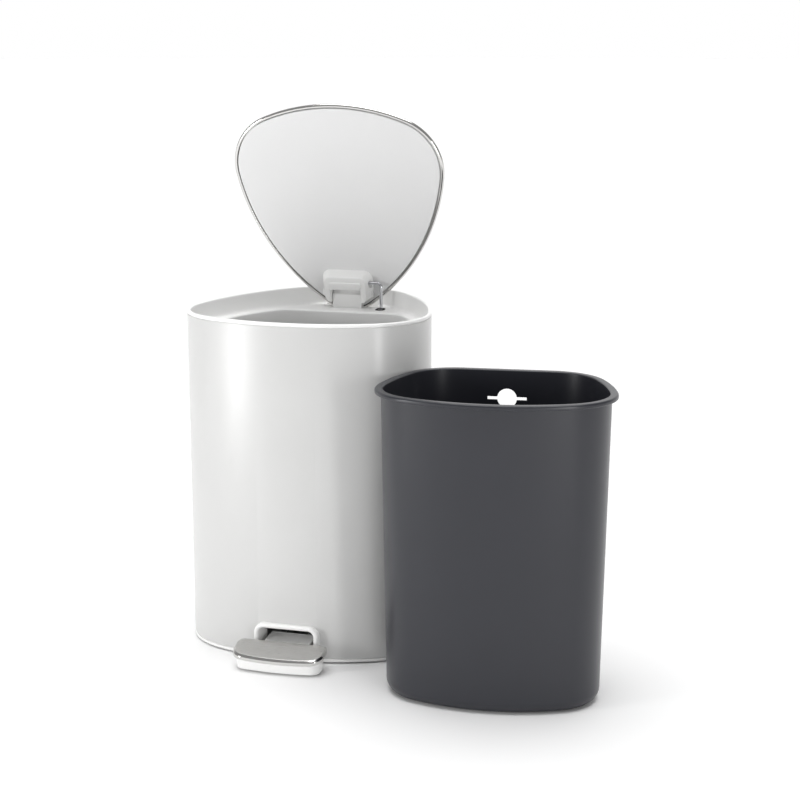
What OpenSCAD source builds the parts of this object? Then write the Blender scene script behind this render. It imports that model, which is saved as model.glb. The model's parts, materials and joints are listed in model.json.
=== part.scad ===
// Pedal trash can with an inset hinged lid and a lift-out inner bucket.
// The can stands at the origin with its pedal towards -Y; the bucket stands beside it on the same floor.

/* [Can] */
// Overall width of the can
can_w = 285; // [270:1:300]
// Overall depth of the can, front to back
can_d = 292; // [285:1:300]
// Height of the can, floor to rim
can_h = 393; // [385:1:410]
// Thickness of the sheet steel body
wall_t = 1; // [0.8:0.1:1.2]

/* [Lid] */
// How far the lid stands open; the pedal and its rod follow it
lid_open = 74; // [0:0.5:74]
// Gap between the can's outline and the lid's edge
lid_inset = 12; // [11.5:0.1:12.5]
// Thickness of the lid at its edge
lid_t = 6; // [5:0.5:6]

/* [Pedal] */
// Width of the pedal's steel cap
pedal_w = 107; // [96:1:114]
// Angle that the pedal turns between its two stops
pedal_swing = 7.35; // [6.9:0.05:7.4]

/* [Bucket] */
// Where the inner bucket stands
bucket_place = "beside"; // [beside, seated]
// Height of the inner bucket
bucket_h = 338; // [334:1:340]
// Wall thickness of the inner bucket
bucket_t = 2.2; // [1.8:0.1:2.6]

/* [Hidden] */
$fn = 48;

open_max = 74;
closing = 1 - lid_open / open_max;

// Plan of the can: front arc, front corners, long sides and the rounded back vertex, as [x, y]
front_r = 242;
corner_r = 80;
side_r = 265;
back_r = 55;
front_c = [0, front_r - can_d / 2];
corner_c = [can_w / 2 - corner_r,
            front_c.y - sqrt(pow(front_r - corner_r, 2) - pow(can_w / 2 - corner_r, 2))];
back_c = [0, can_d / 2 - back_r];

// Centre of the circle of radius ra about a and rb about b that lies on the left of the line from a to b
function meet(a, ra, b, rb) =
    let (d = b - a, l = norm(d), k = (ra * ra - rb * rb + l * l) / (2 * l), h = sqrt(ra * ra - k * k))
    a + k * d / l + h * [-d.y, d.x] / l;
side_c = meet(corner_c, side_r - corner_r, back_c, side_r - back_r);

function heading(p, q) = atan2(q.y - p.y, q.x - p.x);
// Points of an arc about c from angle a0 to a1 in n steps
function arc(c, r, a0, a1, n) = [for (i = [0:n]) let (a = a0 + (a1 - a0) * i / n) c + r * [cos(a), sin(a)]];
function but_last(p) = [for (i = [0:len(p) - 2]) p[i]];
function mirrored(p) = concat(p, [for (i = [len(p) - 1:-1:0]) if (p[i].x > 0.01) [-p[i].x, p[i].y]]);
// Outline set in from the can's own, closed at the back by a corner of centre k and radius rk
function plan(inset, k, rk) = mirrored(concat(
    but_last(arc(front_c, front_r - inset, -90, heading(front_c, corner_c), 8)),
    but_last(arc(corner_c, corner_r - inset, heading(front_c, corner_c), heading(side_c, corner_c), 9)),
    but_last(arc(side_c, side_r - inset, heading(side_c, corner_c), heading(side_c, k), 10)),
    arc(k, rk, heading(side_c, k), 90, 9)));
function can_plan(inset) = plan(inset, back_c, back_r - inset);
// The same outline cut square at y = back, with back corners of radius rk
function cut_plan(inset, back, rk) =
    let (y = back - rk, x = side_c.x + sqrt(pow(side_r - inset - rk, 2) - pow(y - side_c.y, 2)))
    plan(inset, [x, y], rk);

// Heights
foot_z = 2;
seam_z = 6;
pan_floor_z = 4.5;
pan_top = 37;
plate_t = 2;
bead_h = 4;
shell_top = can_h - bead_h;
shelf_z = can_h - 21.5;
shelf_t = 2.5;
collar_fit = 0.05;
collar_w = 4.5;

// Opening for the bucket
opening_inset = 19.5;
opening_back = 70;
opening_r = 22;
skirt_t = 2;
skirt_h = 25;

// Hinge
hinge = [107, can_h - 4];
pin_r = 2;
running = 0.06;
post_w = 36.8;
barrel_r = 4.6;
bracket_w = 64;
bracket_low = hinge.y - 14;
notch_w = 38;
notch_u = 9;
lid_under = can_h - lid_t / 2;

// Pedal lever: pivot, its slope when pressed, and its plate above the pivot line
pivot = [-50, 20];
arm_slope = 3.5;
arm_low = 3.5;
arm_high = 6;
axle_r = 3;
arm_half_w = 12;
rod_pin = [147.5, 11];
rod_x = 44;
rod_r = 2;
arm_ear_x = 36;

// Point [y, z] turned about the hinge by the lid's opening angle a
function lid_turn(p, a) =
    let (d = p - hinge) hinge + [d.x * cos(a) + d.y * sin(a), -d.x * sin(a) + d.y * cos(a)];
// Crank pin on the bracket, with the lid shut
crank = hinge + [-16, -5];
// A point of the lever [along, up] in the can's frame, for a lever slope s
function arm_point(p, s) = pivot + [p.x * cos(s) - p.y * sin(s), p.x * sin(s) + p.y * cos(s)];
arm_now = arm_slope - pedal_swing * closing;
rod_low = arm_point(rod_pin, arm_now);
low_open = arm_point(rod_pin, arm_slope);
low_shut = arm_point(rod_pin, arm_slope - pedal_swing);
crank_open = lid_turn(crank, open_max);
rod_len = norm(crank_open - low_open);
tilt_open = asin((crank_open.x - low_open.x) / rod_len);
tilt_shut = asin((crank.x - low_shut.x) / rod_len);
rod_tilt = tilt_open + (tilt_shut - tilt_open) * closing;

// Pedal frame
frame_w = 76.4;
frame_top = 45;
frame_r = 12;
tunnel_r = 6;
tunnel_in = [66, 30.6];
tunnel_z = 9;
tunnel_t = 1.8;
tunnel_back = -119;
frame_front = -151.5;
cut_w = 70.4;
cut_top = 41.8;

// Pedal cap
cap_back = -156;
cap_front = -193.5;
cap_top = 28.4;
cap_tilt = 13.8;
cap_t = 1.2;
cap_rim = 6;

// Soft-close damper
damper = [-30, 97];
damper_z = [92, 150];
damper_r = 8;
damper_bore = 6.5;

// Bucket
bucket_inset = 13.5;
bucket_back = 60;
bucket_rk = 65;
bucket_rim_h = 5;
bucket_neck = 20.2;
bucket_taper = 6;
bucket_seat_z = pan_top + plate_t;
bucket_spot = [236, -60];
bucket_turn = 5;

module slab(pts, z0, z1) translate([0, 0, z0]) linear_extrude(z1 - z0) polygon(pts);
module ring(outer, inner, z0, z1) difference() {
    slab(outer, z0, z1);
    slab(inner, z0 - 1, z1 + 1);
}
module span(x0, x1, y0, y1, z0, z1) translate([x0, y0, z0]) cube([x1 - x0, y1 - y0, z1 - z0]);
// Cylinder along X between x0 and x1 through [y, z]
module x_rod(x0, x1, at, r) translate([x0, at.x, at.y]) rotate([0, 90, 0]) cylinder(h = x1 - x0, r = r);
// Rectangle with round corners, drawn upright in the XZ plane and extruded from y0 to y1
module arch(w, z0, z1, r, y0, y1) translate([0, y1, 0]) rotate([90, 0, 0]) linear_extrude(y1 - y0) union() {
    translate([-w / 2, z0 + r]) square([w, z1 - z0 - 2 * r]);
    translate([-w / 2 + r, z0]) square([w - 2 * r, z1 - z0]);
    for (x = [-1, 1], z = [z0 + r, z1 - r]) translate([x * (w / 2 - r), z]) circle(r = r);
}
// Pose of the lid's pieces, which are drawn with the lid shut
module on_lid() translate([0, hinge.x, hinge.y]) rotate([-lid_open, 0, 0])
    translate([0, -hinge.x, -hinge.y]) children();
// Pose of the pedal's pieces, which are drawn pressed down
module on_pedal() translate([0, pivot.x, pivot.y]) rotate([-pedal_swing * closing, 0, 0])
    translate([0, -pivot.x, -pivot.y]) children();
// Frame of the pressed lever: along it is +Y, its pivot is the origin
module on_arm() translate([0, pivot.x, pivot.y]) rotate([arm_slope, 0, 0]) children();

// ---- Can ----
module outer_shell() color("whitesmoke") difference() {
    ring(can_plan(0), can_plan(wall_t), seam_z, shell_top);
    span(-cut_w / 2, cut_w / 2, -can_d, -can_d / 4, seam_z - 1, cut_top);
}

// Pocket behind the hinge that the open bracket swings down into
pocket_w = 66;
pocket_y = 110.5;
pocket_z = 360;
pocket_t = 2;
grommet_y = 94.1;
grommet_hole = [3.4, 6.1];
grommet_edge = 2.1;
grommet_t = 0.8;
module collar_solid() {
    slab(can_plan(0), shell_top, can_h);
    slab(can_plan(wall_t + collar_fit), shelf_z - shelf_t, shell_top);
    ring(can_plan(wall_t + collar_fit), can_plan(wall_t + 2), shelf_z - skirt_h, shelf_z - shelf_t);
    slab(cut_plan(opening_inset - skirt_t, opening_back + skirt_t, opening_r + skirt_t),
         shelf_z - skirt_h, shelf_z);
    intersection() {
        span(-pocket_w / 2 - pocket_t, pocket_w / 2 + pocket_t, pocket_y - pocket_t, can_d / 2,
             pocket_z - pocket_t, shelf_z);
        slab(can_plan(wall_t + 1), pocket_z - pocket_t, shelf_z);
    }
}
module top_collar() color("white") difference() {
    collar_solid();
    slab(can_plan(collar_w), shelf_z, can_h + 1);
    slab(cut_plan(opening_inset, opening_back, opening_r), 0, can_h);
    intersection() {
        span(-pocket_w / 2, pocket_w / 2, pocket_y, can_d / 2, pocket_z, can_h);
        slab(can_plan(collar_w), pocket_z, can_h);
    }
    oval(grommet_hole, shelf_z - 5, can_h);
    post_screw_holes(shelf_z - 5, shelf_z + 5);
}
// Upright prism of oval plan about the rod's hole in the shelf
module oval(half, z0, z1) translate([rod_x, grommet_y, z0]) {
    translate([-half.x, half.x - half.y, 0]) cube([2 * half.x, 2 * (half.y - half.x), z1 - z0]);
    for (y = [-1, 1]) translate([0, y * (half.y - half.x), 0]) cylinder(h = z1 - z0, r = half.x);
}
module rod_grommet() color("#1c1c1e") difference() {
    oval(grommet_hole + grommet_edge * [1, 1], shelf_z, shelf_z + grommet_t);
    oval(grommet_hole, shelf_z - 1, can_h);
}

// Two bearing blocks under the axle, each split along the axle into a pedestal and a cap
bearing_x = 19;
bearing_half = [5, 8];
bearing_cap_h = 7;
bearing_screw_y = 5.5;
bearing_screw_low = 8;
bearing_screw_r = 1.5;
module bearing_blocks(z0, z1) for (x = [-bearing_x, bearing_x])
    span(x - bearing_half.x, x + bearing_half.x, pivot.x - bearing_half.y, pivot.x + bearing_half.y, z0, z1);
module bearing_bolts(r, z0, z1) for (x = [-bearing_x, bearing_x], y = [-bearing_screw_y, bearing_screw_y])
    translate([x, pivot.x + y, z0]) cylinder(h = z1 - z0, r = r);
// Rubber stops under the lever: one meets it when it is pressed, the other when it is let go
front_stop_y = -112;
rear_stop_y = 60;
stop_pad_h = 3;
stop_gap = 0.8;
stop_boss_r = [7, 9];
pan_boss = [60, -100, 40];
pan_boss_r = 5;
function stop_top(y, s) = pivot.y + (y - pivot.x) * tan(s) + arm_low / cos(s) - stop_gap;
front_stop = [front_stop_y, stop_top(front_stop_y, arm_slope) - stop_pad_h];
rear_stop = [rear_stop_y, stop_top(rear_stop_y, arm_slope - pedal_swing) - stop_pad_h];
module base_pan() color("gainsboro") difference() {
    union() {
        difference() {
            union() {
                slab(can_plan(0), foot_z, seam_z);
                slab(can_plan(wall_t + collar_fit), seam_z, pan_top);
            }
            slab(can_plan(wall_t + 2), pan_floor_z, can_h);
            span(-cut_w / 2, cut_w / 2, -can_d, tunnel_back + 1, seam_z, can_h);
        }
        bearing_blocks(pan_floor_z, pivot.y);
        translate([0, front_stop.x, pan_floor_z]) cylinder(h = front_stop.y - pan_floor_z, r = stop_boss_r.x);
        translate([0, rear_stop.x, pan_floor_z]) cylinder(h = rear_stop.y - pan_floor_z, r = stop_boss_r.y);
        for (x = [-pan_boss.x, pan_boss.x], y = [pan_boss.y, pan_boss.z])
            translate([x, y, pan_floor_z]) cylinder(h = pan_top - pan_floor_z, r = pan_boss_r);
    }
    x_rod(-can_w / 4, can_w / 4, pivot, axle_r);
    bearing_bolts(bearing_screw_r, bearing_screw_low, pivot.y + 1);
}
// Plate that the bucket stands on, notched round the pedal's tunnel
plate_back = 80;
plate_back_r = 16;
plate_notch = [37, tunnel_back + 8];
module floor_plate() color("gainsboro") difference() {
    slab(cut_plan(wall_t + 0.4, plate_back, plate_back_r), pan_top, pan_top + plate_t);
    span(-plate_notch.x, plate_notch.x, -can_d, plate_notch.y, 0, can_h);
}
module foot_ring() color("#3a3a3c") ring(can_plan(5), can_plan(13), 0, foot_z);

module pedal_frame() color("white") difference() {
    union() {
        difference() {
            arch(frame_w, seam_z, frame_top, frame_r, frame_front, -can_d / 2 + 8);
            slab(can_plan(0), 0, can_h);
        }
        arch(tunnel_in.x + 2 * tunnel_t, tunnel_z - tunnel_t, tunnel_z + tunnel_in.y + tunnel_t,
             tunnel_r + 1, frame_front + 3.5, tunnel_back);
    }
    arch(tunnel_in.x, tunnel_z, tunnel_z + tunnel_in.y, tunnel_r, frame_front - 1, tunnel_back + 1);
}

// ---- Pedal bearing ----
module bearing_caps() color("dimgray") difference() {
    bearing_blocks(pivot.y, pivot.y + bearing_cap_h);
    x_rod(-can_w / 4, can_w / 4, pivot, axle_r);
    bearing_bolts(bearing_screw_r, pivot.y - 1, pivot.y + bearing_cap_h + 1);
}
module bearing_screws() color("silver") {
    bearing_bolts(bearing_screw_r, bearing_screw_low, pivot.y + bearing_cap_h + 1);
    bearing_bolts(2.4, pivot.y + bearing_cap_h, pivot.y + bearing_cap_h + 1.8);
}
axle_half = 27.5;
axle_clip_t = 1.2;
axle_clip_x = 25;
module pedal_axle() color("silver") x_rod(-axle_half, axle_half, pivot, axle_r);
module axle_clips() color("dimgray") for (x = [-axle_clip_x - axle_clip_t, axle_clip_x]) difference() {
    x_rod(x, x + axle_clip_t, pivot, 5);
    x_rod(x - 1, x + axle_clip_t + 1, pivot, axle_r);
}
module stop_pads() color("#2a2a2c") {
    translate([0, front_stop.x, front_stop.y]) cylinder(h = stop_pad_h, r = stop_boss_r.x - 1);
    translate([0, rear_stop.x, rear_stop.y]) cylinder(h = stop_pad_h, r = stop_boss_r.y - 2);
}

// ---- Lid hinge ----
post_front = hinge.x - 8.4;
post_back = hinge.x + 3;
// Pair of upright screws at [x, y], a length of them of radius r
module screw_pair(at, r, z0, z1) for (x = [-at.x, at.x])
    translate([x, at.y, z0]) cylinder(h = z1 - z0, r = r);
post_screw = [10, hinge.x - 3];
module post_screw_holes(z0, z1) screw_pair(post_screw, 1.5, z0, z1);
module hinge_post() color("white") difference() {
    union() {
        x_rod(-post_w / 2, post_w / 2, hinge, barrel_r);
        translate([-post_w / 2, 0, 0]) rotate([90, 0, 90]) linear_extrude(post_w) polygon([
            [post_front, shelf_z], [post_back, shelf_z], hinge + barrel_r * [cos(-70), sin(-70)],
            hinge, hinge + [-barrel_r, 0], [post_front + 1.5, hinge.y], [post_front, hinge.y - 1.5]]);
    }
    x_rod(-bracket_w, bracket_w, hinge, pin_r);
    post_screw_holes(shelf_z - 1, shelf_z + 7);
}
module hinge_pin() color("silver") x_rod(-bracket_w / 2 + 2, bracket_w / 2 - 2, hinge, pin_r);
module post_screws() color("silver") {
    post_screw_holes(shelf_z - shelf_t - 1, shelf_z + 7);
    screw_pair(post_screw, 3, shelf_z - shelf_t - 2, shelf_z - shelf_t);
}

// ---- Lid ----
module lid_cover() color("silver") on_lid() difference() {
    slab(can_plan(lid_inset), lid_under, lid_under + lid_t);
    slab(can_plan(lid_inset + 1), lid_under + 1, lid_under + lid_t - 1);
    slab(can_plan(lid_inset + 4.3), lid_under - 1, lid_under + 2);
}
// The panel is notched over the hinge barrel
module lid_panel() color("white") on_lid() difference() {
    union() {
        slab(can_plan(lid_inset + 1.1), lid_under + 1, lid_under + 3);
        slab(can_plan(lid_inset + 4.4), lid_under, lid_under + 2);
    }
    span(-bracket_w / 2 - 0.3, bracket_w / 2 + 0.3, hinge.x - 6, hinge.x + 6, lid_under - 1, can_h);
    bracket_screw_holes(lid_under - 1, lid_under + 5);
}
bracket_screw = [12, hinge.x - 15.5];
module bracket_screw_holes(z0, z1) screw_pair(bracket_screw, 1.6, z0, z1);
// Slot in the bracket's side that takes the rod's hook: it runs towards the hinge
slot_in = 3.9;
slot_half = 3;
module crank_slot() translate([bracket_w / 2 - 9, hinge.x, hinge.y]) rotate([heading(hinge, crank), 0, 0])
    translate([0, norm(crank - hinge) - slot_in, 0]) {
        rotate([0, 90, 0]) cylinder(h = 12, r = slot_half);
        translate([0, 0, -slot_half]) cube([12, slot_in, 2 * slot_half]);
        translate([0, slot_in, 0]) rotate([0, 90, 0]) cylinder(h = 12, r = slot_half);
    }
// What is cut off the bracket: its sloping flanks, and the outer corners of its legs
bracket_taper = 6;
flank_slope = atan(bracket_taper / (lid_under - bracket_low));
module bracket_trim() for (s = [-1, 1]) {
    translate([s * bracket_w / 2, hinge.x - 40, lid_under]) rotate([0, s * flank_slope, 0])
        translate([s * 10 - 10, 0, -40]) cube([20, 60, 41]);
    slab([[s * (notch_w / 2 + 1), hinge.x + 9.1], [s * 36, hinge.x + 9.1], [s * 36, hinge.x + 2.5]],
         bracket_low - 1, lid_under + 1);
}
module lid_bracket() color("white") on_lid() difference() {
    union() {
        span(-bracket_w / 2, bracket_w / 2, hinge.x - 26, hinge.x + 4, bracket_low, lid_under);
        span(-bracket_w / 2 + 2, bracket_w / 2 - 2, hinge.x - 30, hinge.x - 25, hinge.y - 2, lid_under);
        span(-bracket_w / 2, bracket_w / 2, hinge.x, hinge.x + 9, bracket_low + 5, lid_under);
        x_rod(-bracket_w / 2, bracket_w / 2, [hinge.x + 4, bracket_low + 5], 5);
        x_rod(-bracket_w / 2, bracket_w / 2, hinge, barrel_r);
    }
    span(-notch_w / 2, notch_w / 2, hinge.x - notch_u, hinge.x + 20, 0, can_h + 9);
    x_rod(-bracket_w, bracket_w, hinge, pin_r + running);
    crank_slot();
    bracket_trim();
    bracket_screw_holes(0, can_h);
    screw_pair(bracket_screw, 3.3, bracket_low - 1, bracket_low + 4);
}
module bracket_screws() color("silver") on_lid() {
    bracket_screw_holes(bracket_low + 3, lid_under + 3);
    screw_pair(bracket_screw, 3.2, bracket_low + 2, bracket_low + 4);
}
// Snap-on strip over the bracket's screws
cap_half = [20.5, 3.6];
module bracket_cap() color("white") on_lid()
    span(-cap_half.x, cap_half.x, bracket_screw.y - cap_half.y, bracket_screw.y + cap_half.y,
         bracket_low - 1.8, bracket_low);

// ---- Pedal ----
// Lever in its own frame: wide under the pedal, narrow over the axle, with a cross bar at its back end
arm_front = -136;
arm_wide_end = -70;
arm_wide = 20;
arm_ear_t = 2.5;
arm_ear_r = 9;
bar_left = -39;
bar_half = 8.5;
module arm_plate() translate([0, 0, arm_low]) linear_extrude(arm_high - arm_low) union() {
    translate([-arm_wide, arm_front]) square([2 * arm_wide, arm_wide_end - arm_front]);
    translate([-arm_half_w, arm_wide_end - 1]) square([2 * arm_half_w, rod_pin.x - arm_wide_end]);
    translate([bar_left, rod_pin.x - bar_half]) square([arm_ear_x + arm_ear_t - bar_left, 2 * bar_half]);
}
module arm_ears() difference() {
    for (x = [-arm_half_w, arm_half_w - arm_ear_t]) {
        translate([x, -arm_ear_r, 0]) cube([arm_ear_t, 2 * arm_ear_r, arm_low + 1]);
        x_rod(x, x + arm_ear_t, [0, 0], arm_ear_r);
    }
    translate([-50, -20, arm_high]) cube([100, 40, 20]);
}
module pedal_arm() color("silver") on_pedal() on_arm() difference() {
    union() {
        arm_plate();
        arm_ears();
        translate([arm_ear_x, rod_pin.x - 6, arm_low]) cube([arm_ear_t, 12, rod_pin.y - arm_low]);
        x_rod(arm_ear_x, arm_ear_x + arm_ear_t, rod_pin, 6);
    }
    x_rod(-axle_half, axle_half, [0, 0], axle_r + running);
    x_rod(arm_ear_x - 3, arm_ear_x + 5, rod_pin, rod_r + running);
    arm_screw_holes(0, 20);
    translate([damper.x, damper.y - pivot.x, 0]) cylinder(h = 20, r = damper_slot_r);
}
damper_slot_r = 3.6;
pedal_screw = [12, -82];
pedal_screw_top = 8.5;
module arm_screw_holes(z0, z1) screw_pair(pedal_screw, 1.8, z0, z1);

// Plan of the pedal: bowed front edge, round corners, straight sides and back
cap_bow_r = 260;
cap_corner_r = [16, 7];
pad_inset = 4.5;
pad_wall = 2.5;
pad_low = 2;
function pedal_plan(inset) =
    let (r1 = cap_bow_r, c1 = [0, cap_front + r1], rf = cap_corner_r.x, rb = cap_corner_r.y,
         x = pedal_w / 2 - rf, c2 = [x, c1.y - sqrt(pow(r1 - rf, 2) - x * x)],
         c3 = [pedal_w / 2 - rb, cap_back - rb])
    mirrored(concat(but_last(arc(c1, r1 - inset, -90, heading(c1, c2), 6)),
        arc(c2, rf - inset, heading(c1, c2), 0, 6),
        arc(c3, max(rb - inset, 1), 0, 90, 4)));
// Everything more than depth d under the pedal's sloping top
module under_top(d) translate([0, cap_back, cap_top]) rotate([cap_tilt, 0, 0])
    translate([-80, -80, -d - 80]) cube([160, 120, 80]);
// Tongue of the pedal over the lever, made larger by grow for the notch it passes through
tongue_half = 27;
tongue_s = [-111, -69];
tongue_top = 9.5;
module pedal_tongue(grow) on_arm() translate([-tongue_half - grow, tongue_s.x, 1])
    cube([2 * (tongue_half + grow), tongue_s.y - tongue_s.x, tongue_top - 1 + grow]);
module pedal_cap() color("silver") on_pedal() difference() {
    intersection() {
        slab(pedal_plan(0), 0, 60);
        under_top(0);
    }
    under_top(cap_rim);
    intersection() {
        slab(pedal_plan(cap_t), 0, 60);
        under_top(cap_t);
    }
    pedal_tongue(0.2);
}
module pedal_pad() color("white") on_pedal() difference() {
    union() {
        intersection() {
            slab(pedal_plan(pad_inset), pad_low, 60);
            under_top(cap_t);
        }
        intersection() {
            pedal_tongue(0);
            on_arm() translate([-40, -140, arm_high]) cube([80, 100, 10]);
        }
    }
    intersection() {
        slab(pedal_plan(pad_inset + pad_wall), 0, 60);
        under_top(cap_t + pad_wall);
    }
    on_arm() arm_plate();
    on_arm() arm_screw_holes(0, pedal_screw_top);
}
module pedal_screws() color("silver") on_pedal() on_arm() {
    arm_screw_holes(arm_low - 1, pedal_screw_top);
    screw_pair(pedal_screw, 3.4, arm_low - 2, arm_low);
}

// ---- Push rod ----
module on_rod() translate([0, rod_low.x, rod_low.y]) rotate([-rod_tilt, 0, 0]) children();
module push_rod() color("silver") on_rod() {
    translate([rod_x, 0, 0]) cylinder(h = rod_len, r = rod_r);
    for (z = [0, rod_len]) translate([rod_x, 0, z]) sphere(r = rod_r);
    x_rod(32, rod_x, [0, 0], rod_r);
    x_rod(bracket_w / 2 - 7, rod_x, [0, rod_len], rod_r);
}
module rod_clip() color("dimgray") on_rod() difference() {
    x_rod(33, 35, [0, 0], 4.5);
    x_rod(30, 38, [0, 0], rod_r);
}

// ---- Soft-close damper ----
tab_z = arm_point([damper.y - pivot.x, (arm_low + arm_high) / 2], arm_slope).y;
tab_drop = tab_z - arm_point([damper.y - pivot.x, (arm_low + arm_high) / 2], arm_slope - pedal_swing).y;
module damper_cylinder() color("#2a2a2c") translate([damper.x, damper.y, 0]) difference() {
    translate([0, 0, damper_z.x]) cylinder(h = damper_z.y - damper_z.x, r = damper_r);
    translate([0, 0, damper_z.x + 3]) cylinder(h = damper_z.y - damper_z.x - 6, r = damper_bore);
    translate([0, 0, damper_z.x - 1]) cylinder(h = 10, r = 2 + running);
}
module damper_bracket() color("dimgray") difference() {
    union() {
        translate([damper.x, damper.y, 112]) cylinder(h = 18, r = damper_r + 2);
        intersection() {
            span(damper.x - 9, damper.x + 9, damper.y, can_d / 2, 112, 130);
            slab(can_plan(wall_t), 100, 140);
        }
    }
    translate([damper.x, damper.y, 0]) cylinder(h = can_h, r = damper_r);
}
module damper_rod() color("silver") translate([damper.x, damper.y, tab_z - tab_drop * closing]) {
    translate([0, 0, -4]) cylinder(h = 103, r = 2);
    translate([0, 0, 94]) cylinder(h = 7, r = damper_bore - running);
    translate([0, 0, 2]) cylinder(h = 2, r = 5);
    translate([0, 0, -5]) cylinder(h = 3, r = 5);
}

// ---- Inner bucket ----
bucket_floor_r = 13;
grip_drop = 32;
grip_r = 11;
grip_slot = [44, 3.6];
function bucket_plan(inset) = let (d = inset - bucket_inset) cut_plan(inset, bucket_back - d, bucket_rk - d);
// Tapered form with a rounded floor edge, set in by t and standing on z0
module bucket_form(t, z0) hull() {
    slab(bucket_plan(bucket_neck + t), bucket_h - 2, bucket_h);
    for (a = [0, 45, 90])
        slab(bucket_plan(bucket_neck + bucket_taper + t + bucket_floor_r * (1 - cos(a))),
             z0 + bucket_floor_r * (1 - sin(a)), z0 + bucket_floor_r * (1 - sin(a)) + 0.1);
}
module bucket_upright() difference() {
    union() {
        bucket_form(0, 0);
        slab(bucket_plan(bucket_inset), bucket_h - bucket_rim_h, bucket_h);
    }
    bucket_form(bucket_t, bucket_t);
    slab(bucket_plan(bucket_neck + bucket_t), bucket_h - 1, bucket_h + 1);
    translate([0, bucket_back + 5, bucket_h - grip_drop]) {
        rotate([90, 0, 0]) cylinder(h = 30, r = grip_r);
        translate([-grip_slot.x / 2, -30, -grip_slot.y / 2]) cube([grip_slot.x, 30, grip_slot.y]);
    }
}
module inner_bucket() color("#4a4b50")
    if (bucket_place == "seated") translate([0, 0, bucket_seat_z]) bucket_upright();
    else translate([bucket_spot.x, bucket_spot.y, 0]) rotate([0, 0, bucket_turn])
        translate([0, -bucket_back, 0]) bucket_upright();

outer_shell();
top_collar();
base_pan();
floor_plate();
foot_ring();
pedal_frame();
bearing_caps();
bearing_screws();
pedal_axle();
axle_clips();
stop_pads();
hinge_post();
hinge_pin();
post_screws();
rod_grommet();
lid_cover();
lid_panel();
lid_bracket();
bracket_screws();
bracket_cap();
pedal_arm();
pedal_cap();
pedal_pad();
pedal_screws();
push_rod();
rod_clip();
damper_cylinder();
damper_bracket();
damper_rod();
inner_bucket();
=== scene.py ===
"""Looks of a pedal trash can: its lid stands open and its inner bucket is set down beside it."""
import json
from math import asin, atan2, ceil, copysign, cos, pi, radians, sin, sqrt, tan

import bmesh
import bpy
from mathutils import Matrix, Vector


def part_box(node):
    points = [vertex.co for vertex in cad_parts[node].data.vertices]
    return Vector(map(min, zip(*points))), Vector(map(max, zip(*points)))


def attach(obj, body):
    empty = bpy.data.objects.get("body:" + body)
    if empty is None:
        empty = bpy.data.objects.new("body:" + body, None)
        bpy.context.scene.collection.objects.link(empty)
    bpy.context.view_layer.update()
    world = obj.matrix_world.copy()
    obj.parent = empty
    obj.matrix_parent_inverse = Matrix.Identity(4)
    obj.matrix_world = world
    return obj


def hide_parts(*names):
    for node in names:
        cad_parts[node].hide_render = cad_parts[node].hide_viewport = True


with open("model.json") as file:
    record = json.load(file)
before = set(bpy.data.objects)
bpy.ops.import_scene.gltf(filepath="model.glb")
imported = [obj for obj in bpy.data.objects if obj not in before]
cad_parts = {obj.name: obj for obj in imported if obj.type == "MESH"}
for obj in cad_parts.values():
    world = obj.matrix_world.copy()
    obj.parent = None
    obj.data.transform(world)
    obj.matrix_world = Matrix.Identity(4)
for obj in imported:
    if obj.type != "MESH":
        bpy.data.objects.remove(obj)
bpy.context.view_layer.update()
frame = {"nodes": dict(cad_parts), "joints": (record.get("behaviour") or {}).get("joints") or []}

MM = 0.001
SHELF_DEPTH = 21.5 * MM
LID_HALF = 3 * MM
JOINTS = {joint["name"]: joint for joint in frame["joints"]}
COLLAR_LOW, COLLAR_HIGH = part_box("top_collar")
CAN_W = COLLAR_HIGH.x - COLLAR_LOW.x
CAN_D = COLLAR_HIGH.y - COLLAR_LOW.y
CAN_TOP = COLLAR_HIGH.z
SHELL_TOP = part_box("outer_shell")[1].z
SHELL_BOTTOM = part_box("outer_shell")[0].z
SHELF = CAN_TOP - SHELF_DEPTH
SKIRT_BOTTOM = COLLAR_LOW.z
HINGE = Vector(JOINTS["lid_hinge"]["pos_m"])
LID_OPEN = -radians(JOINTS["lid_hinge"]["range_deg"][0])
LID_UNDER = CAN_TOP - LID_HALF
LID_TOP = CAN_TOP + LID_HALF


# ---- Outlines -----------------------------------------------------------------------------------------

def heading(start, end):
    """Direction from one point to another, as an angle from the x axis."""
    return atan2(end.y - start.y, end.x - start.x)


def meet(a, ra, b, rb):
    """The point at distance ra from a and rb from b, to the left of the line from a to b."""
    across = b - a
    along = (ra * ra - rb * rb + across.length_squared) / (2 * across.length)
    aside = sqrt(ra * ra - along * along)
    unit = across.normalized()
    return a + unit * along + Vector((-unit.y, unit.x)) * aside


FRONT_R, CORNER_R, SIDE_R, BACK_R = 242 * MM, 80 * MM, 265 * MM, 55 * MM
FRONT_C = Vector((0, FRONT_R - CAN_D / 2))
CORNER_X = CAN_W / 2 - CORNER_R
CORNER_C = Vector((CORNER_X, FRONT_C.y - sqrt((FRONT_R - CORNER_R) ** 2 - CORNER_X ** 2)))
BACK_C = Vector((0, CAN_D / 2 - BACK_R))
SIDE_C = meet(CORNER_C, SIDE_R - CORNER_R, BACK_C, SIDE_R - BACK_R)


def both_sides(arcs):
    """The arcs of a right half, and their mirror images, anticlockwise from the front."""
    left = [(Vector((-c.x, c.y)), r, pi - end, pi - start) for c, r, start, end in reversed(arcs)]
    return arcs + left


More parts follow.
